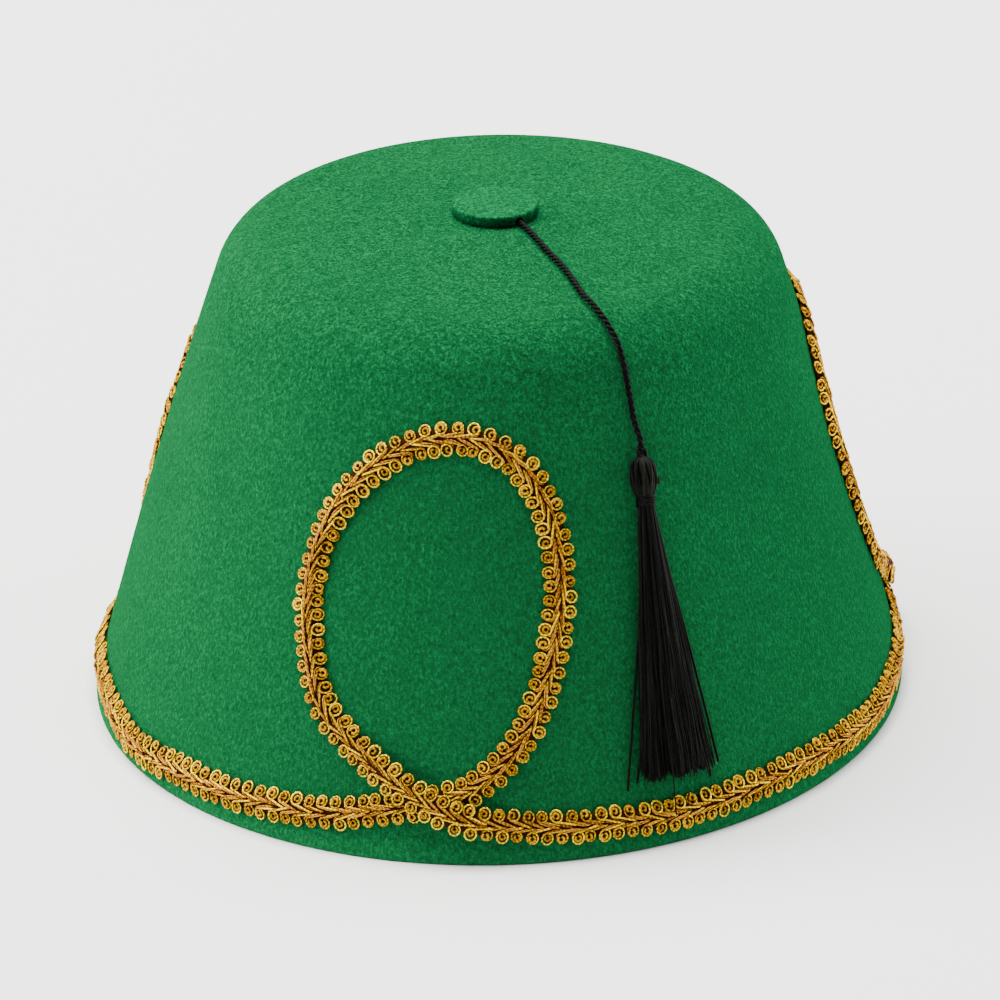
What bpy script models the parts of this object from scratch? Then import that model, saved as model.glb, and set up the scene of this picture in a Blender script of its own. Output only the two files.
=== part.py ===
# A felt fez: a moulded felt crown with a felt button on top, a gimp braid sewn round it
# in three loops, and a cord that leads from under the button to a floss tassel.
# Metres, +Z up. The rim rests on z = 0 and the front of the hat faces -Y.

import math

import bmesh
import bpy
import numpy as np
from mathutils import Matrix, Vector

# Felt body. Widths are outside measures across the head; an oval is length over width.
RIM_HALF_WIDTH = 0.0910
RIM_OVAL = 1.15
CROWN_OVAL = 1.06
CROWN_HEIGHT = 0.1125
CROWN_DOME = 0.0029  # how far the top rises from the shoulder to its middle
SHOULDER_RADIUS = 0.0148
WALL_TAPER = 0.243  # metres inward for each metre up, at the rim
WALL_CURVE = 0.377  # what the taper gains for each metre up, halved
RIM_STRAIGHT = 0.0010  # the upright edge at the rim
FELT_THICKNESS = 0.0025
FELT_SEGMENTS = 72
WALL_ROWS = 7
SHOULDER_ROWS = 5
TOP_ROWS = 3
FELT_GREEN = (0.012, 0.175, 0.060)

GAP = 0.0003  # between neighbouring pieces

# Felt button, sewn on a little off the middle.
BUTTON_DIAMETER = 0.0193
BUTTON_THICKNESS = 0.0026
BUTTON_X = -0.0010
BUTTON_Y = -0.0007
BUTTON_EDGE = 0.0004  # how far its worn edge is rounded
BUTTON_SEGMENTS = 48
BUTTON_GREEN = (0.020, 0.215, 0.078)

# Gimp braid.
BRAID_WIDTH = 0.0078
BRAID_THICKNESS = 0.0018
BRAID_SECTION = (
    # share of the half width, share of the thickness
    (-1.00, 0.00),
    (-1.00, 0.30),
    (-0.50, 0.76),
    (0.00, 1.00),
    (0.50, 0.76),
    (1.00, 0.30),
    (1.00, 0.00),
)
BRAID_STEP = 0.0040
BRAID_GOLD = (0.56, 0.25, 0.05)
BAND = (
    # degrees round from the front, height of the band's middle; it was sewn on by eye
    (24.2, 0.0072),
    (30.0, 0.0069),
    (35.5, 0.0062),
    (42.0, 0.0065),
    (50.0, 0.0068),
    (58.0, 0.0071),
    (66.0, 0.0067),
    (74.0, 0.0062),
    (80.0, 0.0059),
    (86.0, 0.0066),
    (93.0, 0.0070),
    (135.0, 0.0072),
    (180.0, 0.0066),
    (228.0, 0.0070),
    (270.0, 0.0072),
    (290.0, 0.0076),
    (298.0, 0.0066),
    (305.0, 0.0055),
    (310.0, 0.0052),
    (314.0, 0.0057),
    (320.0, 0.0062),
    (326.0, 0.0064),
    (332.0, 0.0066),
    (336.0, 0.0070),
)
LOOP_HALF_WIDTH = 0.0283
LOOP_MIDDLE = 0.0518  # height at which a loop is widest
LOOP_RISE = 0.0358  # from there up to its top
LOOP_DROP = 0.0385  # and down to where its lower curve would close
LOOP_FROM = 70  # degrees round the loop from its foot, where the strands leave the curve
LOOP_POINTS = 7  # on the curve, from there to the top
BAND_POINTS = 12  # between one loop and the next
LOOPS = (
    # degrees round from the front, lean of the loop's top
    (0.0, 0.12),
    (114.0, -0.10),
    (248.5, -0.16),
)
RISING = (
    # across from the loop's middle, height: from the band up to the loop's right side
    (-0.0380, 0.0070),
    (-0.0260, 0.0077),
    (-0.0170, 0.0088),
    (-0.0090, 0.0104),
    (0.0000, 0.0124),
    (0.0087, 0.0146),
    (0.0137, 0.0173),
    (0.0182, 0.0214),
    (0.0219, 0.0261),
    (0.0246, 0.0316),
)
FALLING = (
    # across, height, share of the lift: from the loop's left side over the rising strand
    (-0.0237, 0.0308, 0.00),
    (-0.0193, 0.0262, 0.00),
    (-0.0142, 0.0224, 0.12),
    (-0.0086, 0.0188, 0.75),
    (-0.0028, 0.0155, 1.00),
    (0.0031, 0.0124, 1.00),
    (0.0091, 0.0100, 1.00),
    (0.0150, 0.0089, 0.60),
    (0.0215, 0.0083, 0.08),
    (0.0290, 0.0076, 0.00),
    (0.0380, 0.0072, 0.00),
)

# Cord, from inside the button's channel to the tassel's knot.
CORD_DIAMETER = 0.0015
CORD_STEP = 0.0036
CORD_BLACK = (0.012, 0.011, 0.010)
CORD_ROUTE = (
    (0.0032, -0.0049, 0.1135),
    (0.0058, -0.0076, 0.1134),
    (0.0091, -0.0125, 0.1133),
    (0.0141, -0.0210, 0.1129),
    (0.0200, -0.0302, 0.1122),
    (0.0260, -0.0416, 0.1112),
    (0.0289, -0.0457, 0.1106),
    (0.0319, -0.0495, 0.1092),
    (0.0340, -0.0519, 0.1075),
    (0.0360, -0.0538, 0.1050),
    (0.0377, -0.0556, 0.1005),
    (0.0391, -0.0570, 0.0950),
    (0.0405, -0.0591, 0.0897),
    (0.0422, -0.0609, 0.0860),
    (0.0425, -0.0616, 0.0842),
)
CHANNEL_CLEARANCE = 0.00035  # round the cord, in the underside of the button

# Tassel, hanging down the wall.
KNOT_AT = (36.6, 0.0828, 0.0028)  # degrees from the front, height, distance off the felt
NECK_AT = (36.1, 0.0718, 0.0035)
TASSEL_TURNED = (
    # distance along the tassel from its top, radius
    (0.0000, 0.00045),
    (0.0003, 0.00085),
    (0.0011, 0.00110),
    (0.0018, 0.00085),
    (0.0021, 0.00075),
    (0.0026, 0.00150),
    (0.0038, 0.00240),
    (0.0055, 0.00290),
    (0.0072, 0.00290),
    (0.0088, 0.00255),
    (0.0098, 0.00205),
    (0.0104, 0.00230),
    (0.0110, 0.00215),
    (0.0116, 0.00230),
    (0.0122, 0.00210),
    (0.0150, 0.00190),
    (0.0175, 0.00120),
)
TASSEL_SIDES = 16
TASSEL_BLACK = (0.011, 0.010, 0.010)
LOCK_SIDES = 8
LOCK_ROWS = 6
LOCK_ROOT = 0.0009  # radius where a lock leaves the neck
LOCKS = (
    # distance and degrees round the neck's middle where it starts, then where it ends:
    # degrees, height and distance off the felt, half width, half thickness
    (0.0000, 0.0, 37.2, 0.0165, 0.0020, 0.0062, 0.0011),
    (0.0009, 200.0, 32.9, 0.0162, 0.0013, 0.0015, 0.0010),
    (0.0009, 225.0, 34.5, 0.0147, 0.0013, 0.0016, 0.0010),
    (0.0009, 258.0, 36.2, 0.0153, 0.0013, 0.0016, 0.0010),
    (0.0009, 285.0, 38.0, 0.0142, 0.0013, 0.0016, 0.0010),
    (0.0009, 315.0, 39.8, 0.0148, 0.0013, 0.0016, 0.0010),
    (0.0009, 340.0, 41.5, 0.0142, 0.0013, 0.0015, 0.0010),
    (0.0009, 160.0, 33.8, 0.0149, 0.0027, 0.0015, 0.0010),
    (0.0009, 125.0, 35.6, 0.0152, 0.0028, 0.0016, 0.0010),
    (0.0009, 90.0, 37.3, 0.0143, 0.0028, 0.0016, 0.0010),
    (0.0009, 55.0, 39.0, 0.0147, 0.0028, 0.0016, 0.0010),
    (0.0009, 20.0, 40.7, 0.0144, 0.0027, 0.0015, 0.0010),
)


# The form of the felt: every other piece is placed on it.


def above_edge(height):
    """How far a height is above the upright edge at the rim."""
    return max(height - RIM_STRAIGHT, 0.0)


def wall_radius(height):
    """Half the outside width of the wall at a height."""
    up = above_edge(height)
    return RIM_HALF_WIDTH - WALL_TAPER * up - WALL_CURVE * up * up


def oval(height):
    return RIM_OVAL + (CROWN_OVAL - RIM_OVAL) * above_edge(height) / CROWN_HEIGHT


SHOULDER_FOOT = CROWN_HEIGHT - CROWN_DOME - SHOULDER_RADIUS
SHOULDER_LEAN = math.atan(WALL_TAPER + 2 * WALL_CURVE * above_edge(SHOULDER_FOOT))
TOP_RADIUS = wall_radius(SHOULDER_FOOT) - SHOULDER_RADIUS / math.cos(SHOULDER_LEAN)


def wall_outline():
    """(radius, height) up the outside, from the rim to the middle of the top."""
    wall_top = SHOULDER_FOOT + SHOULDER_RADIUS * math.sin(SHOULDER_LEAN)
    rows = [(RIM_HALF_WIDTH, 0.0)]
    for height in np.linspace(RIM_STRAIGHT, wall_top, WALL_ROWS + 1):
        rows.append((wall_radius(height), height))
    for angle in np.linspace(SHOULDER_LEAN, math.pi / 2, SHOULDER_ROWS + 1)[1:]:
        out = SHOULDER_RADIUS * math.cos(angle)
        up = SHOULDER_RADIUS * math.sin(angle)
        rows.append((TOP_RADIUS + out, SHOULDER_FOOT + up))
    for share in np.linspace(1.0, 0.0, TOP_ROWS + 1)[1:]:
        rows.append((TOP_RADIUS * share, CROWN_HEIGHT - CROWN_DOME * share * share))
    return rows


def on_wall(azimuth, height, off=0.0):
    """(point, outward normal) on the wall below the shoulder, azimuth in radians from -Y."""
    across, ahead = math.sin(azimuth), math.cos(azimuth)
    radius, stretch = wall_radius(height), oval(height)
    taper = WALL_TAPER + 2 * WALL_CURVE * above_edge(height)
    rounder = radius * (CROWN_OVAL - RIM_OVAL) / CROWN_HEIGHT
    around = Vector((radius * ahead, radius * stretch * across, 0))
    upward = Vector((-taper * across, (taper * stretch - rounder) * ahead, 1))
    normal = around.cross(upward).normalized()
    return Vector((radius * across, -radius * stretch * ahead, height)) + normal * off, normal


def azimuth_of(across, height, centre):
    """Where one gets to by going a distance round the wall from an azimuth."""
    turn = np.linspace(centre - 1.0, centre + 1.0, 401)
    radius = wall_radius(height)
    pace = radius * np.hypot(np.cos(turn), oval(height) * np.sin(turn))
    gone = np.concatenate([[0.0], np.cumsum((pace[1:] + pace[:-1]) / 2 * np.diff(turn))])
    return float(np.interp(across, gone - np.interp(centre, turn, gone), turn))


# Small tools.

CURVE_STEPS = 12  # between two given points, before they are spaced out evenly


def smooth_line(points, step, closed=False):
    """Points about a step apart on a smooth curve through the given ones."""
    points = np.array(points, float)
    if closed:
        around = np.vstack([points[-1:], points, points[:2]])
    else:
        first, last = 2 * points[0] - points[1], 2 * points[-1] - points[-2]
        around = np.vstack([first, points, last])
    t = np.linspace(0, 1, CURVE_STEPS, endpoint=False)[:, None]
    fine = []
    for a, b, c, d in zip(around, around[1:], around[2:], around[3:]):
        bend = (3 * b - 3 * c + d - a) * t**3 + (2 * a - 5 * b + 4 * c - d) * t**2
        fine.append(b + (bend + (c - a) * t) / 2)
    fine = np.vstack(fine + [around[-2:-1]])
    gone = np.concatenate([[0], np.cumsum(np.linalg.norm(np.diff(fine, axis=0), axis=1))])
    count = max(2, round(gone[-1] / step)) + 1
    at = np.linspace(0, gone[-1], count)
    line = np.stack([np.interp(at, gone, fine[:, k]) for k in range(fine.shape[1])], axis=1)
    return line[:-1] if closed else line


def loft(mesh, rings, closed=False):
    """Joins rings of points into a skin, capped at its ends unless it closes on itself."""
    rows = [[mesh.verts.new(point) for point in ring] for ring in rings]
    pairs = list(zip(rows, rows[1:]))
    if closed:
        pairs.append((rows[-1], rows[0]))
    for lower, upper in pairs:
        for k in range(len(lower)):
            n = (k + 1) % len(lower)
            mesh.faces.new((lower[k], lower[n], upper[n], upper[k]))
    if not closed:
        mesh.faces.new(rows[0])
        mesh.faces.new(rows[-1])
    bmesh.ops.recalc_face_normals(mesh, faces=mesh.faces)


def finished(name, mesh, collection):
    data = bpy.data.meshes.new(name)
    mesh.to_mesh(data)
    mesh.free()
    piece = bpy.data.objects.new(name, data)
    collection.objects.link(piece)
    return piece


def coat(piece, colour, roughness, metallic=0.0, sheen=0.0):
    material = bpy.data.materials.new(piece.name)
    material.use_nodes = True
    shader = material.node_tree.nodes["Principled BSDF"]
    shader.inputs["Base Color"].default_value = (*colour, 1.0)
    shader.inputs["Roughness"].default_value = roughness
    shader.inputs["Metallic"].default_value = metallic
    shader.inputs["Sheen Weight"].default_value = sheen
    piece.data.materials.append(material)


def smooth(piece, degrees):
    piece.data.shade_smooth()
    piece.data.set_sharp_from_angle(angle=math.radians(degrees))


# The pieces.


def felt_body(parts):
    """The outside is turned round, then drawn out into the oval of a head, and given a wall."""
    mesh = bmesh.new()
    verts = [mesh.verts.new((radius, 0, height)) for radius, height in wall_outline()]
    edges = [mesh.edges.new(pair) for pair in zip(verts, verts[1:])]
    bmesh.ops.spin(
        mesh,
        geom=verts + edges,
        axis=(0, 0, 1),
        cent=(0, 0, 0),
        angle=math.tau,
        steps=FELT_SEGMENTS,
        use_merge=True,
    )
    bmesh.ops.remove_doubles(mesh, verts=mesh.verts, dist=1e-6)
    for vert in mesh.verts:
        vert.co.y *= oval(vert.co.z)
    bmesh.ops.recalc_face_normals(mesh, faces=mesh.faces)
    top = max(mesh.faces, key=lambda face: face.calc_center_median().z)
    if top.normal.z < 0:
        bmesh.ops.reverse_faces(mesh, faces=mesh.faces)
    piece = finished("felt_body", mesh, parts)
    wall = piece.modifiers.new("wall", "SOLIDIFY")
    wall.thickness = FELT_THICKNESS
    wall.offset = -1.0
    coat(piece, FELT_GREEN, 0.95, sheen=0.5)
    smooth(piece, 40)
    return piece


def top_button(parts, cutters):
    bpy.ops.mesh.primitive_cylinder_add(
        vertices=BUTTON_SEGMENTS,
        radius=BUTTON_DIAMETER / 2,
        depth=BUTTON_THICKNESS,
        location=(BUTTON_X, BUTTON_Y, CROWN_HEIGHT + GAP + BUTTON_THICKNESS / 2),
    )
    piece = bpy.context.object
    piece.name = piece.data.name = "top_button"
    move_to(piece, parts)
    edge = piece.modifiers.new("worn edge", "BEVEL")
    edge.width = BUTTON_EDGE
    edge.segments = 2
    edge.limit_method = "ANGLE"
    channel = piece.modifiers.new("cord channel", "BOOLEAN")
    channel.operation = "DIFFERENCE"
    channel.object = cord_channel(cutters)
    coat(piece, BUTTON_GREEN, 0.95, sheen=0.5)
    smooth(piece, 40)
    return piece


def cord_channel(cutters):
    """A cutter round the cord's first stretch, from just short of its end to past the rim."""
    start, rim = Vector(CORD_ROUTE[0]), Vector(CORD_ROUTE[1])
    along = (rim - start).normalized()
    start = start - along * GAP
    length = BUTTON_DIAMETER / 2
    bpy.ops.mesh.primitive_cylinder_add(
        vertices=16,
        radius=CORD_DIAMETER / 2 + CHANNEL_CLEARANCE,
        depth=length,
        location=start + along * length / 2,
        rotation=along.to_track_quat("Z", "Y").to_euler(),
    )
    cutter = bpy.context.object
    cutter.name = cutter.data.name = "cord_channel"
    move_to(cutter, cutters)
    cutter.hide_render = True
    cutter.display_type = "WIRE"
    return cutter


def loop_route(lean):
    """(across, height, lift) of one loop, from the band on its left to the band on its right."""
    right = []
    for turn in np.radians(np.linspace(LOOP_FROM, 180, LOOP_POINTS)):
        reach = LOOP_DROP if turn < math.pi / 2 else LOOP_RISE
        right.append((LOOP_HALF_WIDTH * math.sin(turn), LOOP_MIDDLE - reach * math.cos(turn)))
    left = [(-across, height) for across, height in right[-2::-1]]
    under = [(across, height, 0.0) for across, height in RISING + tuple(right + left)]
    route = []
    for across, height, lift in under + list(FALLING):
        share = max(height - LOOP_MIDDLE, 0.0) / LOOP_RISE
        height += lean * across * share
        across += lean * LOOP_HALF_WIDTH / 3 * share
        route.append((across, height, lift))
    return route


def braid_line():
    """(point, normal) every step along the braid, once round the hat and through its loops."""
    knots = []
    for (degrees, lean), (next_degrees, _) in zip(LOOPS, LOOPS[1:] + LOOPS[:1]):
        centre = math.radians(degrees)
        next_centre = centre + math.radians((next_degrees - degrees) % 360)
        for across, height, lift in loop_route(lean):
            knots.append((azimuth_of(across, height, centre), height, lift))
        band_from, band_to = knots[-1][0], azimuth_of(*RISING[0], next_centre)
        for azimuth in np.linspace(band_from, band_to, BAND_POINTS + 2)[1:-1]:
            knots.append((azimuth, np.interp(math.degrees(azimuth), *zip(*BAND)), 0.0))
    lifted = []
    for azimuth, height, lift in knots:
        over = lift * (BRAID_THICKNESS + GAP)
        lifted.append((*on_wall(azimuth, height)[0], over))
    line = smooth_line(lifted, BRAID_STEP, closed=True)
    placed = []
    for x, y, z, over in line:
        azimuth = math.atan2(x, -y / oval(z))
        point, normal = on_wall(azimuth, z, GAP + over)
        placed.append((point, normal))
    return placed


def gold_braid(parts):
    """A flat trim, thickest down its middle, sewn along its line."""
    line = braid_line()
    rings = []
    for k, (point, normal) in enumerate(line):
        along = line[(k + 1) % len(line)][0] - line[k - 1][0]
        side = normal.cross(along).normalized()
        ring = []
        for across, off in BRAID_SECTION:
            ring.append(point + side * across * BRAID_WIDTH / 2 + normal * off * BRAID_THICKNESS)
        rings.append(ring)
    mesh = bmesh.new()
    loft(mesh, rings, closed=True)
    piece = finished("gold_braid", mesh, parts)
    coat(piece, BRAID_GOLD, 0.38, metallic=0.7)
    smooth(piece, 50)
    return piece


def tassel_cord(parts):
    data = bpy.data.curves.new("tassel_cord", "CURVE")
    data.dimensions = "3D"
    data.bevel_depth = CORD_DIAMETER / 2
    data.bevel_resolution = 2
    data.use_fill_caps = True
    line = smooth_line(CORD_ROUTE, CORD_STEP)
    spline = data.splines.new("POLY")
    spline.points.add(len(line) - 1)
    for point, place in zip(spline.points, line):
        point.co = (*place, 1.0)
    piece = bpy.data.objects.new("tassel_cord", data)
    parts.objects.link(piece)
    coat(piece, CORD_BLACK, 0.6)
    return piece


def tassel_head(parts):
    """The knot, the round head and the bound neck, turned about the line down the wall."""
    knot, _ = on_wall(math.radians(KNOT_AT[0]), KNOT_AT[1], KNOT_AT[2])
    neck, _ = on_wall(math.radians(NECK_AT[0]), NECK_AT[1], NECK_AT[2])
    mesh = bmesh.new()
    rings = []
    for along, radius in TASSEL_TURNED:
        ring = []
        for k in range(TASSEL_SIDES):
            turn = math.tau * k / TASSEL_SIDES
            ring.append(Vector((radius * math.cos(turn), radius * math.sin(turn), along)))
        rings.append(ring)
    loft(mesh, rings)
    down = (neck - knot).normalized().to_track_quat("Z", "Y").to_matrix().to_4x4()
    mesh.transform(Matrix.Translation(knot) @ down)
    return finished("tassel", mesh, parts)


def lock(row, collection, name):
    """A strand of floss: round at the neck, flat and wide at its end, laid down the wall."""
    from_middle, round_neck, end_azimuth, end_height, end_off, end_wide, end_thick = row
    azimuth, height, off = NECK_AT
    lean = math.radians(round_neck)
    rings = []
    for share in np.linspace(0.0, 1.0, LOCK_ROWS):
        spread = math.degrees(from_middle * math.cos(lean) / wall_radius(height))
        at = math.radians((azimuth + spread) * (1 - share) + end_azimuth * share)
        level = height * (1 - share) + end_height * share
        lifted = (off + from_middle * math.sin(lean)) * (1 - share) + end_off * share
        centre, normal = on_wall(at, level, lifted)
        side = Vector((0, 0, 1)).cross(normal).normalized()
        wide = LOCK_ROOT + (end_wide - LOCK_ROOT) * share
        thick = LOCK_ROOT + (end_thick - LOCK_ROOT) * share
        ring = []
        for k in range(LOCK_SIDES):
            turn = math.tau * (k + 0.5) / LOCK_SIDES
            ring.append(centre + side * wide * math.cos(turn) + normal * thick * math.sin(turn))
        rings.append(ring)
    mesh = bmesh.new()
    loft(mesh, rings)
    piece = finished(name, mesh, collection)
    piece.hide_render = True
    piece.display_type = "WIRE"
    return piece


def tassel(parts, locks):
    piece = tassel_head(parts)
    for k, row in enumerate(LOCKS):
        lock(row, locks, f"lock_{k + 1:02d}")
    fuse = piece.modifiers.new("locks", "BOOLEAN")
    fuse.operation = "UNION"
    fuse.operand_type = "COLLECTION"
    fuse.collection = locks
    coat(piece, TASSEL_BLACK, 0.55, sheen=0.2)
    smooth(piece, 60)
    return piece


def new_collection(name):
    collection = bpy.data.collections.new(name)
    bpy.context.scene.collection.children.link(collection)
    return collection


def move_to(piece, collection):
    for other in list(piece.users_collection):
        other.objects.unlink(piece)
    collection.objects.link(piece)


def main():
    for other in list(bpy.data.objects):
        bpy.data.objects.remove(other)
    parts = new_collection("fez")
    cutters = new_collection("cutters")
    locks = new_collection("tassel_locks")
    felt_body(parts)
    top_button(parts, cutters)
    gold_braid(parts)
    tassel_cord(parts)
    tassel(parts, locks)


main()
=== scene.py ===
import functools
import math

import bmesh
import bpy
import numpy as np
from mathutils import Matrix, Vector


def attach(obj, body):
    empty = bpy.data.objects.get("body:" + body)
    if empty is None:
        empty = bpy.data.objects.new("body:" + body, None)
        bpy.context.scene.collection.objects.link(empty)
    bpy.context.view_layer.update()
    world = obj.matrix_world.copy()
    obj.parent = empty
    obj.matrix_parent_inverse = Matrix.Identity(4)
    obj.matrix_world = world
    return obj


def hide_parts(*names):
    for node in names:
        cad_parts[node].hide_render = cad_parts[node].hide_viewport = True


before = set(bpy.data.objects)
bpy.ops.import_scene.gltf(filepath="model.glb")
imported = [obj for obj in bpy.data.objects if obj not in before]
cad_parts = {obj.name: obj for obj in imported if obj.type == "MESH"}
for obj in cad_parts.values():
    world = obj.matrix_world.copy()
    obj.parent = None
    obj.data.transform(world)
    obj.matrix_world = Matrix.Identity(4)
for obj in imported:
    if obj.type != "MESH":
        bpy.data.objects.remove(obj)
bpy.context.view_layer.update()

# A green felt fez with looped gold gimp braid, a felt button, a black cord and a floss tassel.
# Metres. The rim stands on z = 0, the front of the hat faces -Y.

# the felt's form, which everything else is placed on
hat = {
    "rimHalfWidth": 0.0910,
    "rimOval": 1.15,  # length over width
    "crownOval": 1.06,
    "height": 0.1125,
    "dome": 0.0029,
    "shoulderRadius": 0.0148,
    "taper": 0.243,
    "curve": 0.377,
    "straight": 0.0010,  # upright edge at the rim
    "thickness": 0.0025,
    "gap": 0.0003,  # between neighbouring pieces
}


def aboveEdge(height):
    return max(height - hat["straight"], 0.0)


def wallRadius(height):
    up = aboveEdge(height)
    return hat["rimHalfWidth"] - hat["taper"] * up - hat["curve"] * up * up


def ovalAt(height):
    share = aboveEdge(height) / hat["height"]
    return hat["rimOval"] + (hat["crownOval"] - hat["rimOval"]) * share


def onWall(azimuth, height, off=0.0):
    # a point off the wall, below the shoulder, and the normal there; azimuth in radians from -Y
    across, ahead = math.sin(azimuth), math.cos(azimuth)
    radius, stretch = wallRadius(height), ovalAt(height)
    taper = hat["taper"] + 2 * hat["curve"] * aboveEdge(height)
    rounder = radius * (hat["crownOval"] - hat["rimOval"]) / hat["height"]
    around = Vector((radius * ahead, radius * stretch * across, 0))
    upward = Vector((-taper * across, (taper * stretch - rounder) * ahead, 1))
    normal = around.cross(upward).normalized()
    return Vector((radius * across, -radius * stretch * ahead, height)) + normal * off, normal


def smoothLine(points, step, closed=False):
    # evenly spaced points on a smooth curve through the given ones
    points = np.array(points, float)
    if closed:
        around = np.vstack([points[-1:], points, points[:2]])
    else:
        around = np.vstack([2 * points[0] - points[1], points, 2 * points[-1] - points[-2]])
    t = np.linspace(0, 1, 12, endpoint=False)[:, None]
    fine = []
    for a, b, c, d in zip(around, around[1:], around[2:], around[3:]):
        bend = (3 * b - 3 * c + d - a) * t**3 + (2 * a - 5 * b + 4 * c - d) * t**2
        fine.append(b + (bend + (c - a) * t) / 2)
    fine = np.vstack(fine + [around[-2:-1]])
    gone = np.concatenate([[0], np.cumsum(np.linalg.norm(np.diff(fine, axis=0), axis=1))])
    at = np.linspace(0, gone[-1], max(2, round(gone[-1] / step)) + 1)
    line = np.stack([np.interp(at, gone, fine[:, k]) for k in range(fine.shape[1])], axis=1)
    return line[:-1] if closed else line


# small tools


def linearOf(hexColour):
    # an sRGB hex value as linear red, green, blue and alpha
    parts = [int(hexColour[k : k + 2], 16) / 255 for k in (1, 3, 5)]
    return [c / 12.92 if c <= 0.04045 else ((c + 0.055) / 1.055) ** 2.4 for c in parts] + [1.0]


def setSockets(node, values):
    # links or sets a node's inputs, named or in order; a node as a value is its first output
    for key, value in values.items() if isinstance(values, dict) else enumerate(values):
        if isinstance(value, bpy.types.Node):
            value = value.outputs[0]
        if isinstance(value, bpy.types.NodeSocket):
            node.id_data.links.new(value, node.inputs[key])
        else:
            node.inputs[key].default_value = value


def addNode(tree, kind, links=(), operation=None, **settings):
    # one node, its settings, and what its sockets are linked or set to
    node = tree.nodes.new(kind)
    if operation:
        node.operation = operation
    for name, value in settings.items():
        setattr(node, name, value)
    setSockets(node, links)
    return node


def setStops(ramp, *stops):
    # places and sRGB colours on a ramp: its first and last stop, then any between them
    elements = ramp.color_ramp.elements
    for k, (position, colour) in enumerate(stops):
        stop = elements[k] if k < 2 else elements.new(position)
        stop.position, stop.color = position, linearOf(colour)


def newTree(name, ints="", floats="", objects=""):
    # a geometry tree's node adder and its inputs, named here for each kind
    tree = bpy.data.node_groups.new(name, "GeometryNodeTree")
    named = {"Geometry": "Geometry", "Int": ints, "Float": floats, "Object": objects}
    for kind, labels in {**named, "Material": "material"}.items():
        for label in labels.split():
            tree.interface.new_socket(label, in_out="INPUT", socket_type=f"NodeSocket{kind}")
    tree.interface.new_socket("Geometry", in_out="OUTPUT", socket_type="NodeSocketGeometry")
    add = functools.partial(addNode, tree)
    return add, add("NodeGroupInput").outputs


def endTree(add, given, geometry):
    # every tree ends in real faces, smooth, with their material
    smooth = add("GeometryNodeSetShadeSmooth", [geometry])
    real = add("GeometryNodeRealizeInstances", [smooth])
    coated = add("GeometryNodeSetMaterial", {0: real, "Material": given["material"]})
    return add("NodeGroupOutput", {"Geometry": coated}).id_data


def bakeNodes(name, source, tree, material, **values):
    # runs a tree on an object, with those values that are named like its inputs, and gives the
    # result as a plain mesh object
    modifier = source.modifiers.new(tree.name, "NODES")
    modifier.node_group = tree
    values["material"] = material
    for item in tree.interface.items_tree:
        if item.in_out == "INPUT" and item.name in values:
            modifier[item.identifier] = values[item.name]
    graph = bpy.context.evaluated_depsgraph_get()
    mesh = bpy.data.meshes.new_from_object(
        source.evaluated_get(graph), preserve_all_data_layers=True, depsgraph=graph
    )
    source.modifiers.remove(modifier)
    piece = bpy.data.objects.new(name, mesh)
    bpy.context.scene.collection.objects.link(piece)
    return piece


def helperMesh(name, points, edges=(), faces=(), **values):
    # an object that feeds a tree; each value is one number or vector for every point
    mesh = bpy.data.meshes.new(name)
    mesh.from_pydata([tuple(p) for p in points], list(edges), list(faces))
    for label, rows in values.items():
        rows = np.array(rows, np.float32)
        vector = rows.ndim == 2
        attribute = mesh.attributes.new(label, "FLOAT_VECTOR" if vector else "FLOAT", "POINT")
        attribute.data.foreach_set("vector" if vector else "value", rows.ravel())
    helper = bpy.data.objects.new(name, mesh)
    bpy.context.scene.collection.objects.link(helper)
    return helper


def helperLines(name, lines):
    # each line's points, joined by edges
    points, edges = [], []
    for line in lines:
        edges += [(len(points) + k, len(points) + k + 1) for k in range(len(line) - 1)]
        points += [tuple(p) for p in line]
    return helperMesh(name, points, edges)


def dropHelpers(*helpers):
    for helper in helpers:
        bpy.data.objects.remove(helper)


def facesOut(piece):
    # turns a closed form's faces outwards if they came out the other way
    mesh = bmesh.new()
    mesh.from_mesh(piece.data)
    if mesh.calc_volume(signed=True) < 0:
        bmesh.ops.reverse_faces(mesh, faces=mesh.faces)
        mesh.to_mesh(piece.data)
    mesh.free()


def joinPieces(name, pieces):
    bpy.ops.object.select_all(action="DESELECT")
    for piece in pieces:
        piece.select_set(True)
    bpy.context.view_layer.objects.active = pieces[0]
    bpy.ops.object.join()
    pieces[0].name = pieces[0].data.name = name
    return pieces[0]


def finishPiece(piece, slot, *nodes):
    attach(piece, "root")
    if nodes:
        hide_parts(*nodes)
    print(f"{piece.name}: {len(piece.data.polygons)} faces")


def faceTowards(holder, place):
    # turns a camera or lamp to look at a place
    holder.rotation_euler = (Vector(place) - holder.location).to_track_quat("-Z", "Y").to_euler()


# camera: the photograph's height and side, far off with a long lens
camera = {
    "azimuth": 10.3,
    "elevation": 22.94,
    "distance": 2.5,
    "orbitHeight": 0.0500,
    "aimHeight": 0.0426,
    "lens": 398.9,  # mm, on a sensor 36 mm wide
    "sensor": 36,
    "farthest": 20,
}


def addCamera():
    turn, rise = math.radians(camera["azimuth"]), math.radians(camera["elevation"])
    flat = math.cos(rise)
    back = Vector((math.sin(turn) * flat, -math.cos(turn) * flat, math.sin(rise)))
    lens = bpy.data.cameras.new("hatCamera")
    lens.lens, lens.sensor_width = camera["lens"], camera["sensor"]
    lens.clip_end = camera["farthest"]
    seen = bpy.data.objects.new("hatCamera", lens)
    seen.location = Vector((0, 0, camera["orbitHeight"])) + back * camera["distance"]
    faceTowards(seen, (0, 0, camera["aimHeight"]))
    bpy.context.scene.collection.objects.link(seen)
    bpy.context.scene.camera = seen


addCamera()
print("camera placed")


# materials


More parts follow.
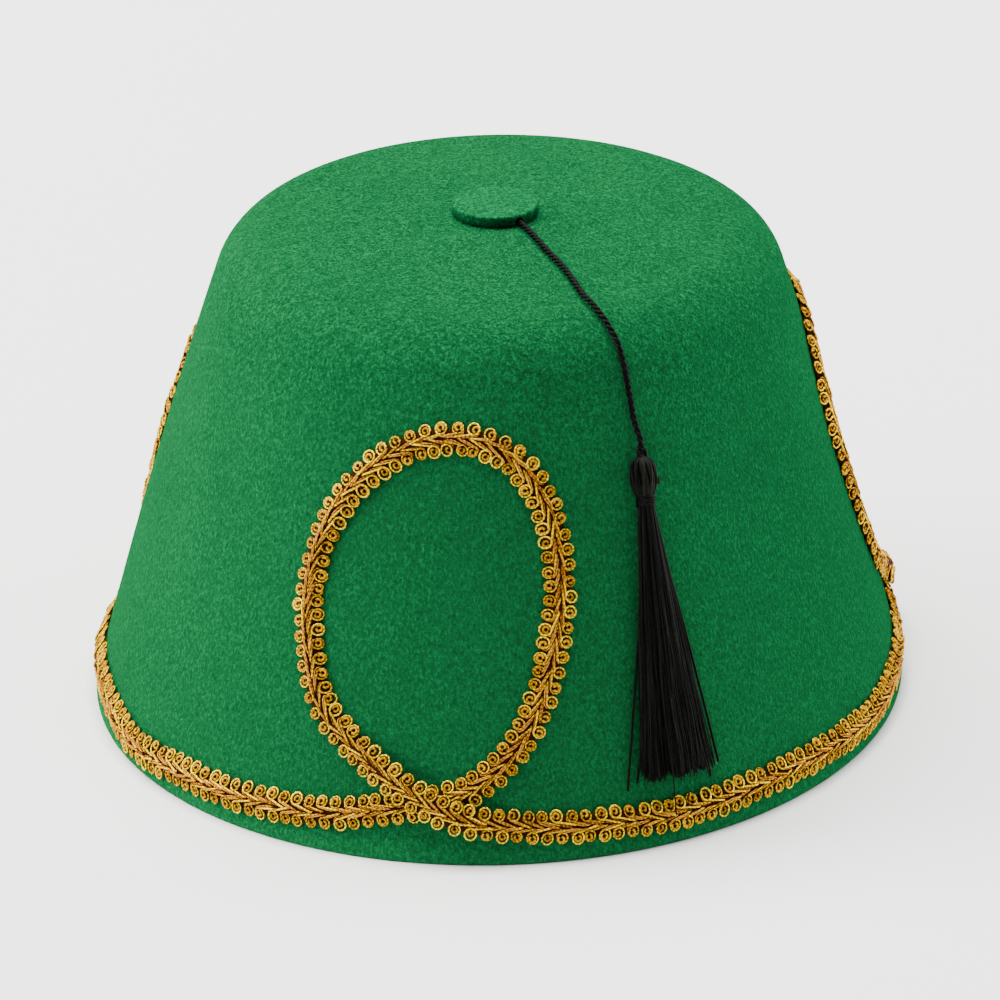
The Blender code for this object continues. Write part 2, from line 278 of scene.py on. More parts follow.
def newMaterial(name):
    # a material, its node adder and its shader
    material = bpy.data.materials.new(name)
    material.use_nodes = True
    tree = material.node_tree
    return material, functools.partial(addNode, tree), tree.nodes["Principled BSDF"]


# moulded wool felt: matted fibres that scatter light, no gloss, a soft bloom at grazing angles
woolFelt = {
    "dark": "#0d321b",
    "mid": "#124e29",
    "pale": "#1a7240",
    "matSize": 0.00064,  # width of a matted tuft
    "fibreSize": 0.00033,
    "drawnOut": 0.62,  # the tufts run up the wall, so they are longer than wide
    "topSize": 0.00105,  # the top is rubbed less, so its nap is longer
    "topFrom": 0.072,  # heights over which that longer nap begins
    "topTo": 0.112,
    "topShare": 1.4,
    "fibreShare": 0.9,
    "patchSize": 0.030,  # slow change of tone over the wall
    "patchShare": 0.12,
    "toneFrom": 0.66,  # sums of the patterns that come out dark and pale
    "toneTo": 1.36,
    "bumpDepth": 0.00040,
    "sheen": 0.08,
    "bloom": "#38d07a",
    "shade": (0.0, 0.0055, 1.5),  # heights between which the colour goes from this share to all: painted light, the felt near the rim is painted paler against the shade that falls there
}


def feltMaterial(name, felt):
    material, add, shader = newMaterial(name)
    place = add("ShaderNodeTexCoord").outputs["Object"]
    drawnOut = (1.0, 1.0, felt["drawnOut"])
    drawn = add("ShaderNodeVectorMath", [place, drawnOut], "MULTIPLY")
    patterns = []
    for vector, size, detail, roughness, distortion in (
        (drawn, "matSize", 3.0, 0.62, 0.0),
        (drawn, "fibreSize", 2.0, 0.6, 1.6),
        (place, "patchSize", 2.0, 0.5, 0.0),
        (place, "topSize", 2.0, 0.6, 1.8),
    ):
        values = {"Vector": vector, "Scale": 1 / felt[size], "Detail": detail}
        values |= {"Roughness": roughness, "Distortion": distortion}
        patterns.append(add("ShaderNodeTexNoise", values))
    mat, fibre, patch, longNap = patterns
    height = add("ShaderNodeSeparateXYZ", [place]).outputs["Z"]
    rise = [height, felt["topFrom"], felt["topTo"], 0.0, felt["topShare"]]
    onTop = add("ShaderNodeMapRange", rise)
    wave = add("ShaderNodeMath", [longNap, 0.5], "SUBTRACT")
    nap = mat
    for pattern, amount in ((wave, onTop), (fibre, felt["fibreShare"])):
        nap = add("ShaderNodeMath", [pattern, amount, nap], "MULTIPLY_ADD")
    tone = add("ShaderNodeMath", [patch, felt["patchShare"], nap], "MULTIPLY_ADD")
    share = add("ShaderNodeMapRange", [tone, felt["toneFrom"], felt["toneTo"]])
    ramp = add("ShaderNodeValToRGB", [share])
    setStops(ramp, (0.0, felt["dark"]), (1.0, felt["pale"]), (0.5, felt["mid"]))
    # painted light and shade by height: the crown's felt is painted paler near its rim, the
    # button's edge darker towards its foot
    low, high, least = felt["shade"]
    lit = add("ShaderNodeMapRange", [height, low, high, least, 1.0])
    colour = add("ShaderNodeVectorMath", {0: ramp, "Scale": lit}, "SCALE")
    bump = add("ShaderNodeBump", {"Height": nap, "Distance": felt["bumpDepth"], "Strength": 0.9})
    values = {"Base Color": colour, "Normal": bump, "Roughness": 0.95, "Specular IOR Level": 0.0}
    values |= {"Sheen Weight": felt["sheen"], "Sheen Roughness": 0.4}
    setSockets(shader, {**values, "Sheen Tint": linearOf(felt["bloom"])})
    return material


# single wool fibres that stand out of the felt: thin, paler than the mat behind them
woolFibre = {"dark": "#0b4222", "pale": "#18693b"}


def fibreMaterial():
    material, add, shader = newMaterial("looseWoolFibre")
    tone = add("ShaderNodeAttribute", attribute_name="yarnTone").outputs["Fac"]
    ramp = add("ShaderNodeValToRGB", [tone])
    setStops(ramp, (0.0, woolFibre["dark"]), (1.0, woolFibre["pale"]))
    setSockets(shader, {"Base Color": ramp, "Roughness": 0.9, "Specular IOR Level": 0.0})
    return material


def yarnMaterial(name, yarn):
    # a thread wound or twisted round itself: slanted stripes from the distance along it and the
    # turn round it, which the geometry trees store, and a tone for each piece of thread
    material, add, shader = newMaterial(name)
    along, around, crest, tone = (
        add("ShaderNodeAttribute", attribute_name=stored).outputs
        for stored in ("alongYarn", "aroundYarn", "threadTop", "yarnTone")
    )
    turn = add("ShaderNodeMath", [along["Fac"], math.tau / yarn["lay"]], "MULTIPLY")
    sine, cosine = (add("ShaderNodeMath", [turn], wave) for wave in ("SINE", "COSINE"))
    phase = add("ShaderNodeCombineXYZ", [cosine, sine])
    stripe = add("ShaderNodeVectorMath", [phase, around["Vector"]], "DOT_PRODUCT").outputs["Value"]
    place = add("ShaderNodeTexCoord").outputs["Object"]
    values = {"Vector": place, "Scale": 1 / yarn["grain"], "Detail": 2.0, "Roughness": 0.6}
    # each pattern is laid over those before it; grain and stripes also make the relief
    layers = [add("ShaderNodeTexNoise", values)]
    # the threads' upturned tops are painted paler and their sides darker, as painted light and
    # shade
    for pattern, share in (
        (stripe, "stripeShare"), (crest["Fac"], "crestShare"), (tone["Fac"], "toneSpread")
    ):
        layers.append(add("ShaderNodeMath", [pattern, yarn[share], layers[-1]], "MULTIPLY_ADD"))
    share = add("ShaderNodeMapRange", [layers[-1], yarn["toneFrom"], yarn["toneTo"]])
    ramp = add("ShaderNodeValToRGB", [share])
    setStops(ramp, (0.20, yarn["dark"]), (0.88, yarn["pale"]), (0.53, yarn["mid"]))
    relief = {"Height": layers[1], "Distance": yarn["bumpDepth"], "Strength": 0.8}
    bump = add("ShaderNodeBump", relief)
    values = {"Base Color": ramp, "Normal": bump, "Roughness": yarn["roughness"]}
    values |= {"Metallic": yarn["metallic"], "Specular IOR Level": yarn["specular"]}
    setSockets(shader, {**values, "Specular Tint": linearOf(yarn["edge"])})
    return material


# gimp thread: metallised film wound round a cotton core, bright where the film faces the light;
# its yellow lacquer colours even the glancing shine
gimpYarn = {
    "dark": "#301400",
    "mid": "#996e02",
    "pale": "#ffda04",
    "lay": 0.0009,  # one turn of the film, drawn twice its real length so that it shows
    "grain": 0.0006,
    "stripeShare": 0.18,
    "toneSpread": 0.3,
    "crestShare": 0.5,  # painted light: how much paler a thread's upturned top is painted than its sides, which stay darker as painted shade
    "bumpDepth": 0.00008,
    "roughness": 0.34,
    "metallic": 0.6,  # the film lets some of the cotton's own colour through
    "specular": 0.2,
    "edge": "#ffba00",
    "toneFrom": 0.15,  # sums of the patterns that come out dark and pale
    "toneTo": 1.46,
}
# the same thread deep in a curl, painted darker and more amber: painted shade in the curl's hollow
shadedCurlYarn = {**gimpYarn, "dark": "#3c1e00", "mid": "#946300", "pale": "#dca200", "metallic": 0.35}
# the same thread drawn along the braid's middle: its film is worn, so some pinkish cotton shows
stemYarn = {
    **gimpYarn,
    "dark": "#2a0e06",
    "mid": "#7e4214",
    "pale": "#ca8e38",
    "roughness": 0.42,
    "metallic": 0.55,
    "specular": 0.1,
}
# the braid's inner threads: the same cotton without the film, brown and dull, painted darker still
# as the shade between the curls
coreYarn = {
    **gimpYarn,
    "dark": "#1c0c02",
    "mid": "#341a05",
    "pale": "#55300c",
    "lay": 0.0006,
    "grain": 0.0008,
    "crestShare": 0.0,
    "bumpDepth": 0.00010,
    "roughness": 0.8,
    "metallic": 0.0,
    "specular": 0.1,
}
# twisted rayon cord: smooth dyed filaments, a narrow brown shine on black
cordYarn = {
    "dark": "#010101",
    "mid": "#060605",
    "pale": "#26251c",
    "lay": 0.0007,
    "grain": 0.0004,
    "stripeShare": 0.35,
    "toneSpread": 0.2,
    "crestShare": 0.0,
    "bumpDepth": 0.00006,
    "roughness": 0.46,
    "metallic": 0.0,
    "specular": 0.055,
    "edge": "#ffffff",
    "toneFrom": 0.15,
    "toneTo": 1.46,
}
# rayon floss: the same filament laid straight, without stripes
flossYarn = {
    **cordYarn,
    "mid": "#0b0c09",
    "pale": "#1a1a15",
    "grain": 0.0005,
    "stripeShare": 0.0,
    "toneSpread": 0.6,
    "bumpDepth": 0.00004,
    "specular": 0.05,
}

greenFelt = feltMaterial("mouldedWoolFelt", woolFelt)
# the button's felt is cut, so its edge shows the darker, glued middle of the sheet; the edge's
# darkening towards the bottom is also painted shade under the disc's overhang
cutFelt = {**woolFelt, "dark": "#0e3c20", "mid": "#12562f", "pale": "#1d7c48"}
cutFelt["shade"] = (hat["height"] + 0.0008, hat["height"] + 0.0027, 0.42)
buttonFelt = feltMaterial("cutWoolFelt", cutFelt)
looseFibre = fibreMaterial()
goldThread = yarnMaterial("metallisedGimpThread", gimpYarn)
shadedCurlThread = yarnMaterial("gimpThreadInPaintedShade", shadedCurlYarn)
stemThread = yarnMaterial("wornGimpThread", stemYarn)
coreThread = yarnMaterial("cottonCoreWithPaintedShade", coreYarn)
blackCord = yarnMaterial("twistedRayonCord", cordYarn)
blackFloss = yarnMaterial("rayonFloss", flossYarn)
print("materials made")


# trees that turn lines into thread


def noteLength(add, curve):
    # every point of a curve notes how far along it lies
    gone = add("GeometryNodeSplineParameter").outputs["Length"]
    values = {"Geometry": curve, "Name": "alongYarn", "Value": gone}
    return add("GeometryNodeStoreNamedAttribute", values, domain="POINT")


def noteTone(add, geometry, seed, domain):
    # gives each thread a tone of its own
    tone = add("FunctionNodeRandomValue", {"Seed": seed}, data_type="FLOAT").outputs[1]
    values = {"Geometry": geometry, "Name": "yarnTone", "Value": tone}
    return add("GeometryNodeStoreNamedAttribute", values, domain=domain)


def drawThread(add, given, curve, section=None):
    # draws a ring, or a given section, along a curve; its points note which way round they face
    caps = section is None
    if section is None:
        size = {"Resolution": given["sides"], "Radius": given["threadRadius"]}
        section = add("GeometryNodeCurvePrimitiveCircle", size)
    place = add("GeometryNodeInputPosition")
    outward = add("ShaderNodeVectorMath", [place], "NORMALIZE")
    values = {"Geometry": section, "Name": "aroundYarn", "Value": outward}
    kind = {"data_type": "FLOAT_VECTOR", "domain": "POINT"}
    profile = add("GeometryNodeStoreNamedAttribute", values, **kind)
    values = {"Curve": curve, "Profile Curve": profile, "Fill Caps": caps}
    return add("GeometryNodeCurveToMesh", values)


def scatter(add, points, shape, stand, least, most, size, seed, toneSeed):
    # sets a shape on points, each turned by chance off its stand, in a tone of its own
    limits = {0: least, 1: most, "Seed": seed}
    loose = add("FunctionNodeRandomValue", limits, data_type="FLOAT_VECTOR")
    values = {"Rotation": stand, "Rotate By": add("FunctionNodeEulerToRotation", [loose])}
    way = add("FunctionNodeRotateRotation", values, rotation_space="LOCAL")
    values = {"Points": points, "Instance": shape, "Rotation": way, "Scale": size}
    placed = add("GeometryNodeInstanceOnPoints", values)
    return noteTone(add, placed, toneSeed, "INSTANCE")


def threadTree():
    # any lines become round threads
    add, given = newTree("threadsAlongLines", "sides toneSeed", "threadRadius")
    line = add("GeometryNodeMeshToCurve", [given["Geometry"]])
    toned = noteTone(add, noteLength(add, line), given["toneSeed"], "CURVE")
    return endTree(add, given, drawThread(add, given, toned))


threads = threadTree()


# cord: two plies laid round each other, from the channel under the button to the tassel's knot
cord = {
    "diameter": 0.0015,
    "plies": 2,
    "threadRadius": 0.00040,  # of one ply
    "plyOffset": 0.00036,
    "sides": 8,
    "twistLength": 0.0033,  # for one whole turn of a ply
    "step": 0.0003,
    "length": 0.0848,
}
cordRoute = (
    (0.0032, -0.0049, 0.1135), (0.0058, -0.0076, 0.1134), (0.0091, -0.0125, 0.1133),
    (0.0141, -0.0210, 0.1129), (0.0200, -0.0302, 0.1122), (0.0260, -0.0416, 0.1112),
    (0.0289, -0.0457, 0.1106), (0.0319, -0.0495, 0.1092), (0.0340, -0.0519, 0.1075),
    (0.0360, -0.0538, 0.1050), (0.0377, -0.0556, 0.1005), (0.0391, -0.0570, 0.0950),
    (0.0405, -0.0591, 0.0897), (0.0422, -0.0609, 0.0860), (0.0425, -0.0616, 0.0842),
    (0.0426, -0.0619, 0.0835),
)


def cordTree():
    add, given = newTree("twistedPlies", "plies sides", "plyOffset twistLength threadRadius")
    line = add("GeometryNodeMeshToCurve", [given["Geometry"]])
    copies = {"Geometry": noteLength(add, line), "Amount": given["plies"]}
    plies = add("GeometryNodeDuplicateElements", copies, domain="SPLINE")
    share = add("ShaderNodeMath", [plies.outputs["Duplicate Index"], given["plies"]], "DIVIDE")
    gone = add("GeometryNodeSplineParameter").outputs["Length"]
    turns = add("ShaderNodeMath", [gone, given["twistLength"]], "DIVIDE")
    turned = add("ShaderNodeMath", [turns, share], "ADD")
    angle = add("ShaderNodeMath", [turned, math.tau], "MULTIPLY")
    sine, cosine = (add("ShaderNodeMath", [angle], wave) for wave in ("SINE", "COSINE"))
    normal, tangent = add("GeometryNodeInputNormal"), add("GeometryNodeInputTangent")
    side = add("ShaderNodeVectorMath", [normal, tangent], "CROSS_PRODUCT")
    up = add("ShaderNodeVectorMath", {0: normal, "Scale": cosine}, "SCALE")
    out = add("ShaderNodeVectorMath", {0: side, "Scale": sine}, "SCALE")
    both = add("ShaderNodeVectorMath", [up, out], "ADD")
    offset = add("ShaderNodeVectorMath", {0: both, "Scale": given["plyOffset"]}, "SCALE")
    laid = add("GeometryNodeSetPosition", {"Geometry": plies, "Offset": offset})
    return endTree(add, given, drawThread(add, given, laid))


def makeCord():
    line = smoothLine(cordRoute, cord["step"])
    helper = helperLines("cordLine", [line])
    piece = bakeNodes("twistedCord", helper, cordTree(), blackCord, **cord)
    dropHelpers(helper)
    finishPiece(piece, "black_cord", "tassel_cord")


makeCord()


# felt: a turned form, drawn out into an oval, with its inside
felt = {
    "sides": 240,
    "wallRows": 56,
    "shoulderRows": 18,
    "topRows": 22,
    "edgeRound": 0.0005,
    "unevenness": 0.00012,
    "unevenSize": 0.022,
    "seed": 4,
}


def turnedTree():
    # turns an outline round Z; its rows of points are the form's rows
    floats = "rimOval crownOval straight height unevenness unevenSize"
    add, given = newTree("turnedOval", "sides seed", floats, "outline")
    outline = add("GeometryNodeObjectInfo", [given["outline"]]).outputs["Geometry"]
    counts = add("GeometryNodeAttributeDomainSize", [outline], component="MESH")
    rows = counts.outputs["Point Count"]
    columns = add("ShaderNodeMath", [given["sides"], 1.0], "ADD")
    size = {"Size X": 1.0, "Size Y": 1.0, "Vertices X": columns, "Vertices Y": rows}
    grid = add("GeometryNodeMeshGrid", size)
    place = add("GeometryNodeInputPosition")
    shares = add("ShaderNodeSeparateXYZ", [place]).outputs
    turn = add("ShaderNodeMath", [shares["X"], math.tau], "MULTIPLY")
    last = add("ShaderNodeMath", [rows, 1.0], "SUBTRACT")
    upShare = add("ShaderNodeMath", [shares["Y"], 0.5], "ADD")
    exact = add("ShaderNodeMath", [upShare, last], "MULTIPLY")
    row = add("ShaderNodeMath", [exact], "ROUND")
    values = {"Geometry": outline, "Value": place, "Index": row}
    taken = add("GeometryNodeSampleIndex", values, data_type="FLOAT_VECTOR", domain="POINT")
    point = add("ShaderNodeSeparateXYZ", [taken]).outputs
    top = add("ShaderNodeMath", [given["straight"], given["height"]], "ADD")
    ovals = [point["Z"], given["straight"], top, given["rimOval"], given["crownOval"]]
    stretch = add("ShaderNodeMapRange", ovals)
    sine, cosine = (add("ShaderNodeMath", [turn], wave) for wave in ("SINE", "COSINE"))
    x = add("ShaderNodeMath", [point["X"], sine], "MULTIPLY")
    reach = add("ShaderNodeMath", [point["X"], cosine], "MULTIPLY")
    y = add("ShaderNodeMath", [reach, stretch], "MULTIPLY")
    formed = add("ShaderNodeCombineXYZ", [x, y, point["Z"]])
    moved = add("GeometryNodeSetPosition", {"Geometry": grid, "Position": formed})
    closed = add("GeometryNodeMergeByDistance", {"Geometry": moved, "Distance": 2e-6})
    waveSize = add("ShaderNodeMath", [1.0, given["unevenSize"]], "DIVIDE")
    values = {"W": given["seed"], "Scale": waveSize, "Detail": 1.0}
    wave = add("ShaderNodeTexNoise", values, noise_dimensions="4D")
    swing = add("ShaderNodeMath", [wave, 0.5], "SUBTRACT")
    push = add("ShaderNodeMath", [swing, given["unevenness"]], "MULTIPLY")
    normal = add("GeometryNodeInputNormal")
    pushed = add("ShaderNodeVectorMath", {0: normal, "Scale": push}, "SCALE")
    uneven = add("GeometryNodeSetPosition", {"Geometry": closed, "Offset": pushed})
    return endTree(add, given, uneven)


turned = turnedTree()


def turnedPiece(name, outline, look, material):
    # the form with its faces outwards; look is the piece's own dictionary
    start = helperMesh("turnedStart", [(0, 0, 0)])
    rows = helperLines("outline", [[(radius, 0, height) for radius, height in outline]])
    piece = bakeNodes(name, start, turned, material, outline=rows, **{**hat, **look})
    dropHelpers(start, rows)
    facesOut(piece)
    return piece


def arc(x, y, radius, start, end, count):
    turns = np.linspace(start, end, count)
    return [(x + radius * math.cos(turn), y + radius * math.sin(turn)) for turn in turns]


def feltOutline():
    # outside from the top's middle down to the rim, round its cut edge, and back up the inside
    round, half = hat["shoulderRadius"], felt["edgeRound"]
    foot = hat["height"] - hat["dome"] - round
    lean = math.atan(hat["taper"] + 2 * hat["curve"] * aboveEdge(foot))
    middle = wallRadius(foot) - round / math.cos(lean)
    outside = []
    for share in np.linspace(0, 1, felt["topRows"])[:-1]:
        outside.append((middle * share, hat["height"] - hat["dome"] * share * share))
    outside += arc(middle, foot, round, math.pi / 2, lean, felt["shoulderRows"])[:-1]
    for height in np.linspace(foot + round * math.sin(lean), hat["straight"], felt["wallRows"]):
        outside.append((wallRadius(height), height))
    outside = np.array(outside)
    along = np.gradient(outside, axis=0)
    along /= np.linalg.norm(along, axis=1)[:, None]
    inside = outside + np.stack([along[:, 1], -along[:, 0]], axis=1) * hat["thickness"]
    inside[0, 0] = 0.0
    outer = hat["rimHalfWidth"] - half
    inner = outer + 2 * half - hat["thickness"]
    edge = arc(outer, half, half, 0, -math.pi / 2, 4)
    edge += arc(inner, half, half, -math.pi / 2, -math.pi, 4)
    return [tuple(p) for p in outside] + edge + [tuple(p) for p in inside[::-1]]


feltPiece = turnedPiece("feltCrown", feltOutline(), felt, greenFelt)
finishPiece(feltPiece, "green_felt", "felt_body")


# button: a punched disc of thicker felt, its edge a little ragged
button = {
    "diameter": 0.0193,
    "thickness": 0.0026,
    "x": -0.0010,
    "y": -0.0007,
    "edgeRound": 0.0004,
    "dome": 0.0002,
    "waist": 0.0001,  # how far the middle of its edge lies in
    "channelRadius": 0.0011,
    "rimOval": 1.0,  # round, not oval like the hat
    "crownOval": 1.0,
    "sides": 128,
    "unevenness": 0.00022,
    "unevenSize": 0.004,
    "seed": 9,
}


def buttonOutline():
    radius, low = button["diameter"] / 2, hat["height"] + hat["gap"]
    high, half = low + button["thickness"], button["edgeRound"]
    rows = [(0.0, high)]
    for share in np.linspace(0.1, 0.94, 9):
        rows.append((radius * share, high - button["dome"] * share * share))
    upper, lower = high - button["dome"] - half, low + half
    rows += arc(radius - half, upper, half, math.pi / 2, 0, 5)
    rows.append((radius - button["waist"], (low + high) / 2))
    rows += arc(radius - half, lower, half, 0, -math.pi / 2, 5)
    for share in np.linspace(0.9, 0.0, 6):
        rows.append((radius * share, low))
    return rows


def makeButton():
    piece = turnedPiece("feltButton", buttonOutline(), button, buttonFelt)
    for vert in piece.data.vertices:
        vert.co.x += button["x"]
        vert.co.y += button["y"]
    start, way = Vector(cordRoute[0]), Vector(cordRoute[1]) - Vector(cordRoute[0])
    bpy.ops.mesh.primitive_cylinder_add(
        vertices=24,
        radius=button["channelRadius"],
        depth=button["diameter"] / 2,
        location=start + way.normalized() * (button["diameter"] / 4 - hat["gap"]),
        rotation=way.to_track_quat("Z", "Y").to_euler(),
    )
    cutter = bpy.context.object
    channel = piece.modifiers.new("cordChannel", "BOOLEAN")
    channel.operation = "DIFFERENCE"
    channel.object = cutter
    graph = bpy.context.evaluated_depsgraph_get()
    cut = bpy.data.meshes.new_from_object(piece.evaluated_get(graph))
    piece.modifiers.remove(channel)
    piece.data = cut
    cut.materials.clear()  # the channel's wall is of the same felt
    cut.materials.append(buttonFelt)
    cut.polygons.foreach_set("material_index", [0] * len(cut.polygons))
    bpy.data.objects.remove(cutter)
    finishPiece(piece, "button_felt", "top_button")
    return piece


buttonPiece = makeButton()


# fuzz: single fibres that lie and stand on the felt
fuzz = {
    "perSquareMetre": 95000.0,
    "buttonPerSquareMetre": 300000.0,
    "heart": 0.03,  # fibres grow only where the felt faces away from this height on the axis
    "fibreLength": 0.0010,
    "shortest": 0.35,  # lengths vary between these shares of that
    "longest": 1.3,
    "fibreRadius": 0.000014,
    "lowest": 0.0025,  # the rim's edge stays bare, so that the hat stands on felt
    "seed": 21,
}


def fuzzTree():
    floats = "perSquareMetre outsideAbove lowest fibreLength shortest longest fibreRadius"
    add, given = newTree("looseFibres", "seed", floats)
    normal, place = add("GeometryNodeInputNormal"), add("GeometryNodeInputPosition")
    heart = add("ShaderNodeCombineXYZ", {2: given["outsideAbove"]})
    out = add("ShaderNodeVectorMath", [place, heart], "SUBTRACT")
    facing = add("ShaderNodeVectorMath", [normal, out], "DOT_PRODUCT")
    height = add("ShaderNodeSeparateXYZ", [place]).outputs["Z"]
    outside, clear = (
        add("FunctionNodeCompare", [value, limit], "GREATER_THAN")
        for value, limit in ((facing.outputs["Value"], 0.0), (height, given["lowest"]))
    )
    wanted = add("FunctionNodeBooleanMath", [outside, clear])
    values = {"Mesh": given["Geometry"], "Selection": wanted}
    values |= {"Density": given["perSquareMetre"], "Seed": given["seed"]}
    spots = add("GeometryNodeDistributePointsOnFaces", values)
    # a fibre one unit long that bends over, three sides and four joints
    values = {"Start": (0, 0, -0.06), "Middle": (0.15, 0, 0.30), "End": (0.95, 0.1, 0.16)}
    bent = add("GeometryNodeCurveQuadraticBezier", {"Resolution": 3, **values})
    thin = add("ShaderNodeMath", [given["fibreRadius"], given["fibreLength"]], "DIVIDE")
    ring = add("GeometryNodeCurvePrimitiveCircle", {"Resolution": 3, "Radius": thin})
    fibre = add("GeometryNodeCurveToMesh", {"Curve": bent, "Profile Curve": ring})
    sizes = {2: given["shortest"], 3: given["longest"], "Seed": 77}
    size = add("FunctionNodeRandomValue", sizes, data_type="FLOAT").outputs[1]
    length = add("ShaderNodeMath", [size, given["fibreLength"]], "MULTIPLY")
    stand, seed = spots.outputs["Rotation"], given["seed"]
    turns = (-0.25, -0.35, 0.0), (0.25, 0.25, math.tau)
    return endTree(add, given, scatter(add, spots, fibre, stand, *turns, length, seed, 5))


def makeFuzz():
    tree = fuzzTree()
    for name, source, slot, density, heart in (
        ("crownFuzz", feltPiece, "green_felt", fuzz["perSquareMetre"], fuzz["heart"]),
        ("buttonFuzz", buttonPiece, "button_felt", fuzz["buttonPerSquareMetre"], hat["height"]),
    ):
        values = {**fuzz, "perSquareMetre": density, "outsideAbove": heart}
        finishPiece(bakeNodes(name, source, tree, looseFibre, **values), slot)


makeFuzz()


# braid: one long line that runs round the hat and through its three loops
braid = {
    "thickness": 0.0018,
    "loopHalfWidth": 0.0283,
    "loopMiddle": 0.0518,
    "loopRise": 0.0358,
    "loopDrop": 0.0385,
    "loopFrom": 70,  # degrees round the loop from its foot
    "step": 0.00055,
    "pitch": 0.00328,  # from one curl to the next
    "rowShift": 0.0009,  # how far the lower row lags
    "crest": 0.00152,  # height of the thread's middle over the braid's middle line
    "slope": 0.40,  # how steeply each side falls away to its edge
    "threadRadius": 0.00026,
    "sides": 4,
    "innerThread": 1.32,  # thickness of the wound-on ends and of the stems, over the curls'
    "stemThread": 0.70,
    "curlMiddle": 0.00238,
    "curlRadius": 0.00123,  # along the braid
    "curlReach": 0.00129,  # across it
    "innerRadius": 0.00060,
    "tipSpread": 0.10,
    "sizeSpread": 0.07,
    "seed": 12,
}
braidLoops = ((0.0, 0.12), (114.0, -0.10), (248.5, -0.16))  # degrees from the front, lean
# across from the loop's middle, height: from the band up to the loop's right side
braidRising = (
    (-0.0380, 0.0070), (-0.0260, 0.0077), (-0.0170, 0.0088), (-0.0090, 0.0104),
    (0.0000, 0.0124), (0.0087, 0.0146), (0.0137, 0.0173), (0.0182, 0.0214),
    (0.0219, 0.0261), (0.0246, 0.0316),
)
# across, height, share of the lift: from the loop's left side over the rising strand
braidFalling = (
    (-0.0237, 0.0308, 0.00), (-0.0193, 0.0262, 0.00), (-0.0142, 0.0224, 0.12),
    (-0.0086, 0.0188, 0.75), (-0.0028, 0.0155, 1.00), (0.0031, 0.0124, 1.00),
    (0.0091, 0.0100, 1.00), (0.0150, 0.0089, 0.60), (0.0215, 0.0083, 0.08),
    (0.0290, 0.0076, 0.00), (0.0380, 0.0072, 0.00),
)
# degrees from the front, height of the band's middle: it was sewn on by eye
braidBand = (
    (24.2, 0.0072), (30.0, 0.0069), (35.5, 0.0062), (42.0, 0.0065), (50.0, 0.0068),
    (58.0, 0.0071), (66.0, 0.0067), (74.0, 0.0062), (80.0, 0.0059), (86.0, 0.0066),
    (93.0, 0.0070), (135.0, 0.0072), (180.0, 0.0066), (228.0, 0.0070), (270.0, 0.0072),
    (290.0, 0.0076), (298.0, 0.0066), (305.0, 0.0055), (310.0, 0.0052), (314.0, 0.0057),
    (320.0, 0.0062), (326.0, 0.0064), (332.0, 0.0066), (336.0, 0.0070),
)


def azimuthOf(across, height, centre):
    # where one gets to by going a distance round the wall from an azimuth
    turn = np.linspace(centre - 1.0, centre + 1.0, 401)
    pace = wallRadius(height) * np.hypot(np.cos(turn), ovalAt(height) * np.sin(turn))
    gone = np.concatenate([[0.0], np.cumsum((pace[1:] + pace[:-1]) / 2 * np.diff(turn))])
    return float(np.interp(across, gone - np.interp(centre, turn, gone), turn))


def loopRoute(lean):
    right = []
    for turn in np.radians(np.linspace(braid["loopFrom"], 180, 7)):
        reach = braid["loopDrop"] if turn < math.pi / 2 else braid["loopRise"]
        across = braid["loopHalfWidth"] * math.sin(turn)
        right.append((across, braid["loopMiddle"] - reach * math.cos(turn)))
    left = [(-across, height) for across, height in right[-2::-1]]
    under = [(across, height, 0.0) for across, height in braidRising + tuple(right + left)]
    route = []
    for across, height, lift in under + list(braidFalling):
        share = max(height - braid["loopMiddle"], 0.0) / braid["loopRise"]
        height += lean * across * share
        across += lean * braid["loopHalfWidth"] / 3 * share
        route.append((across, height, lift))
    return route


def braidFrames(step):
    # middle line on the felt with its normal and the way it runs, every step along
    knots = []
    for (degrees, lean), (nextDegrees, _) in zip(braidLoops, braidLoops[1:] + braidLoops[:1]):
        centre = math.radians(degrees)
        nextCentre = centre + math.radians((nextDegrees - degrees) % 360)
        for across, height, lift in loopRoute(lean):
            knots.append((azimuthOf(across, height, centre), height, lift))
        bandEnd = azimuthOf(*braidRising[0], nextCentre)
        for azimuth in np.linspace(knots[-1][0], bandEnd, 14)[1:-1]:
            knots.append((azimuth, np.interp(math.degrees(azimuth), *zip(*braidBand)), 0.0))
    lifted = []
    for azimuth, height, lift in knots:
        over = lift * (braid["thickness"] + hat["gap"])
        lifted.append((*onWall(azimuth, height)[0], over))
    points, normals = [], []
    for x, y, z, over in smoothLine(lifted, step, closed=True):
        point, normal = onWall(math.atan2(x, -y / ovalAt(z)), z, hat["gap"] + over)
        points.append(point)
        normals.append(normal)
    points, normals = np.array(points), np.array(normals)
    ways = np.roll(points, -1, axis=0) - np.roll(points, 1, axis=0)
    ways -= normals * np.sum(ways * normals, axis=1)[:, None]
    ways /= np.linalg.norm(ways, axis=1)[:, None]
    return points, normals, ways


def threadPlace(x, y, side, over=0.0):
    # along, across and above the braid's middle line, on the slope of its ridge
    return (x, side * y, braid["crest"] - braid["slope"] * y + over)


def curlLines(side):
    # one thread of a curl: back from the middle line ahead, slanting out, and once round
    middle, radius, reach = braid["curlMiddle"], braid["curlRadius"], braid["curlReach"]
    slant = (
        (0.0042, 0.00026, -0.00022), (0.0036, 0.00032, 0.00002), (0.0026, 0.00056, 0.00010),
        (0.0016, 0.00082, 0.00010), (0.0007, 0.00102, 0.00006),
    )
    line = [threadPlace(x, y, side, over) for x, y, over in slant]
    for k, angle in enumerate(np.radians(np.linspace(-104, -104 - 345, 11))):
        x, y = radius * math.cos(angle), middle + reach * math.sin(angle)
        line.append(threadPlace(x, y, side, 0.00014 * max(k - 8, 0)))
    return [line]


